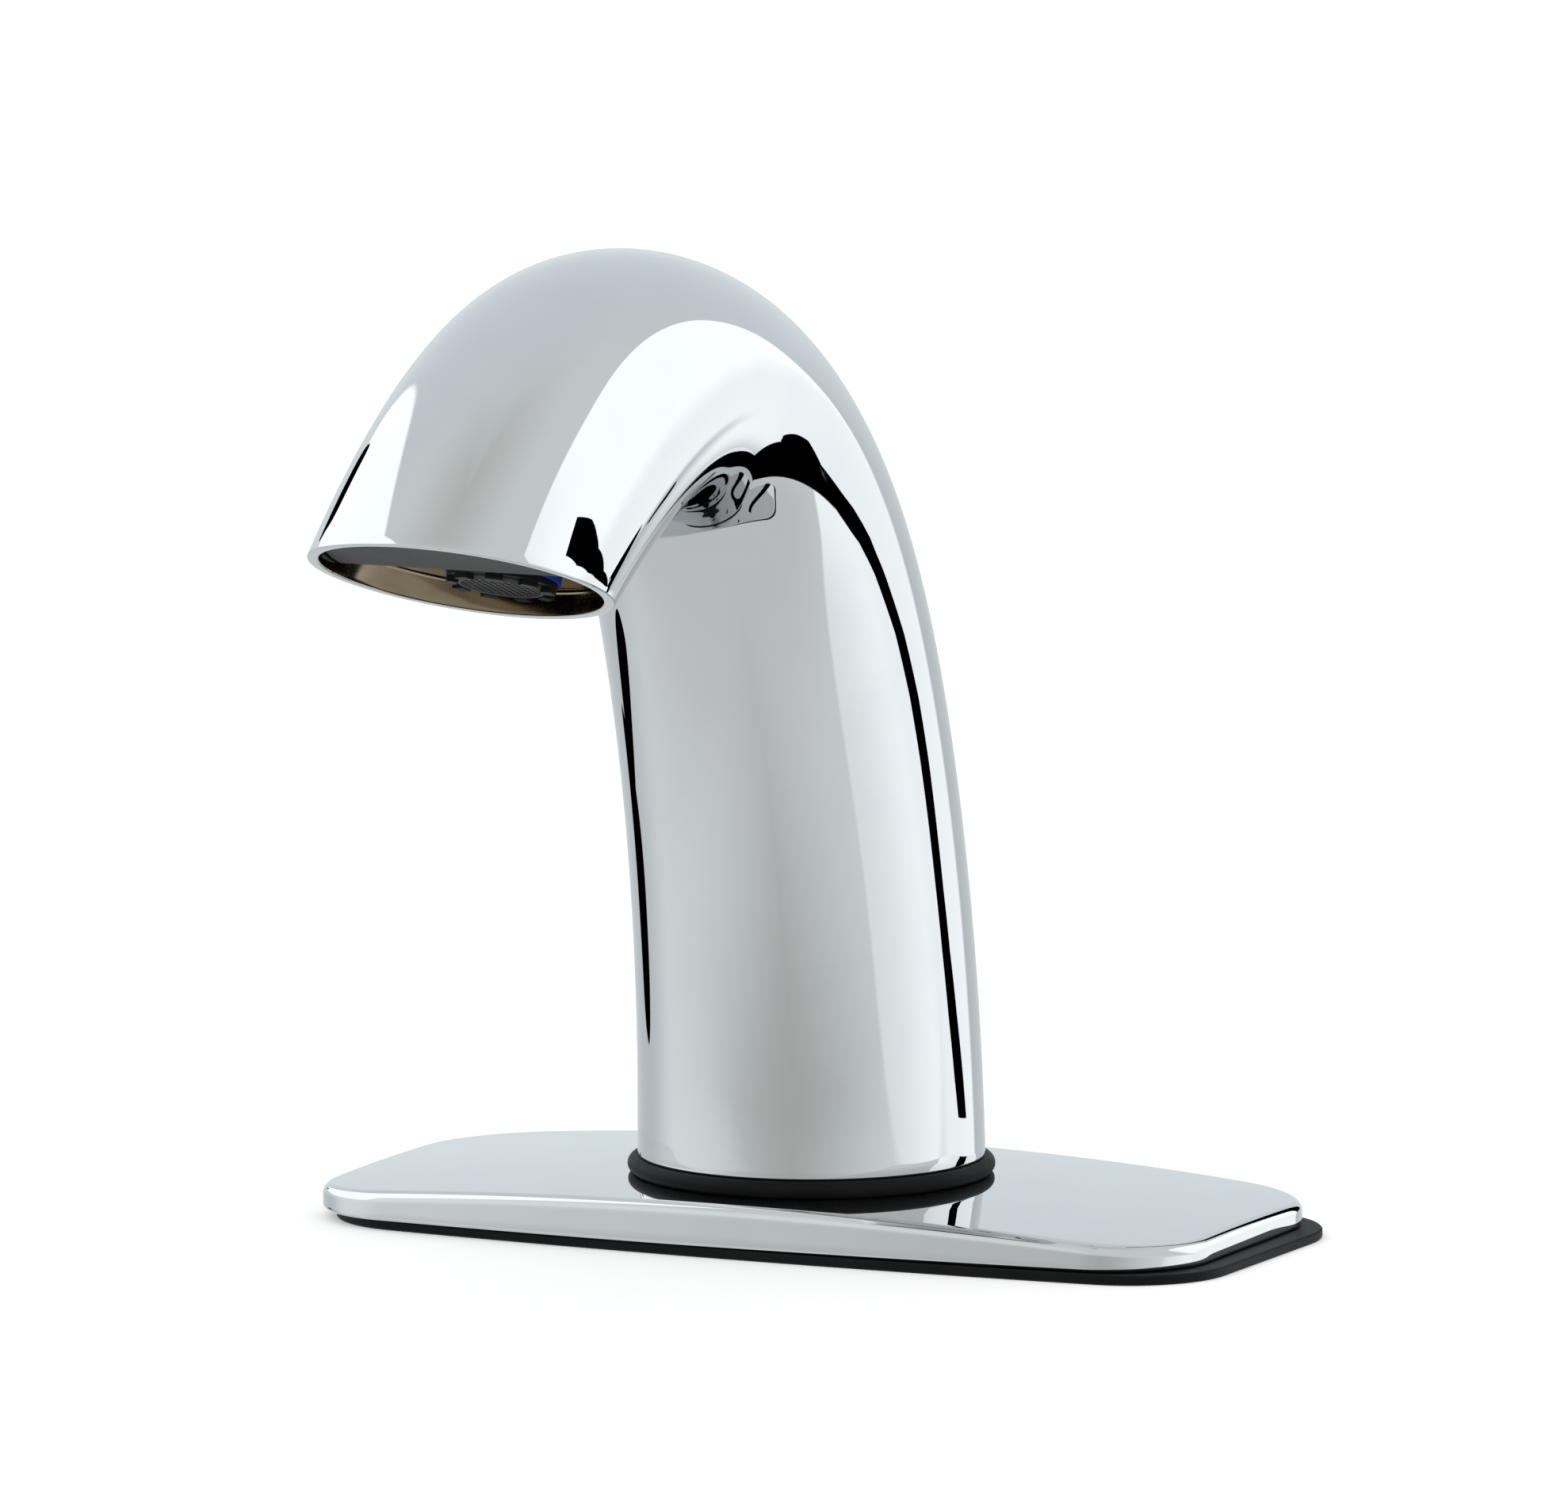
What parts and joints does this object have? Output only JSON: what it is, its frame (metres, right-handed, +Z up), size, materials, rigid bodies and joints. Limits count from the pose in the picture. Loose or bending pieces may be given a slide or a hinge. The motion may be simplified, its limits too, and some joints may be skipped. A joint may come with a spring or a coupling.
{
  "type": "sensor faucet",
  "caption": "Touch-free deck faucet: an oval column arching into a slanted outlet with an infrared sensor window and a screw-in aerator, on an oblong cover plate.",
  "frame": {"origin": "on the column's axis at the deck's surface, under the gasket, over the deck's fixing hole", "axes": "+Z up out of the deck, +X to the right along the cover plate, the spout reaches out towards -Y"},
  "size_m": [0.159, 0.1957, 0.1681],
  "materials": {
    "chrome": "mirror-polished plating",
    "black_rubber": "matte",
    "brass": "machined",
    "nickel": "nickel-plated casting",
    "steel": "plain stainless",
    "copper": "enamelled wire",
    "white_plastic": "moulded",
    "tube_plastic": "drawn tube",
    "black_plastic": "fine moulded",
    "mesh_plastic": "fine mesh",
    "blue_rubber": "satin",
    "smoked_plastic": "satin smoked",
    "clear_plastic": "clear",
    "board_green": "coated board",
    "cable_jacket": "soft jacket"
  },
  "bodies": {
    "faucet": {"spout_body": "chrome", "cover_plate": "chrome", "plate_gasket": "black_rubber", "base_ring": "black_rubber", "base_insert": "brass", "cable_grommet": "black_rubber", "inlet_filter": "steel", "check_seat": "white_plastic", "check_guide": "white_plastic", "check_spring": "steel", "valve_body": "brass", "bonnet_seal": "black_rubber", "bonnet": "brass", "bonnet_screws": "steel", "core_tube": "steel", "core_stop": "steel", "plunger_spring": "steel", "coil_bobbin": "white_plastic", "coil_winding": "copper", "coil_yoke": "steel", "coil_nut": "steel", "water_tube": "tube_plastic", "nozzle_block": "nickel", "sensor_window": "smoked_plastic", "sensor_housing": "black_plastic", "sensor_board": "board_green", "ir_emitter": "clear_plastic", "ir_receiver": "smoked_plastic", "sensor_cable": "cable_jacket"},
    "check_poppet": {"check_poppet": "white_plastic"},
    "plunger": {"plunger": "steel", "plunger_seal": "black_rubber"},
    "aerator_carrier": {"aerator_washer": "blue_rubber"},
    "aerator": {"aerator_housing": "black_plastic", "aerator_screen": "mesh_plastic", "flow_regulator": "white_plastic"}
  },
  "joints": [
    {"name": "check_lift", "type": "slide", "parent": "faucet", "child": "check_poppet", "axis": [0, 0, 1], "range_m": [0, 0.0025], "stiffness_N_per_m": 60, "springref_m": -0.004, "deforming": ["check_spring"]},
    {"name": "plunger_lift", "type": "slide", "parent": "faucet", "child": "plunger", "axis": [0, 0, 1], "range_m": [0, 0.0018], "stiffness_N_per_m": 200, "springref_m": -0.006, "deforming": ["plunger_spring"]},
    {"name": "aerator_draw", "type": "slide", "parent": "faucet", "child": "aerator_carrier", "axis": [0, -0.3387, -0.9409], "range_m": [0, 0.0055]},
    {"name": "aerator_turn", "type": "hinge", "parent": "aerator_carrier", "child": "aerator", "pos_m": [0, -0.12024, 0.11728], "axis": [0, -0.3387, -0.9409], "range_deg": [0, 1980]}
  ],
  "couplings": [
    {"joint": "aerator_draw", "follows": "aerator_turn", "m_per_rad": 0.00015915}
  ]
}
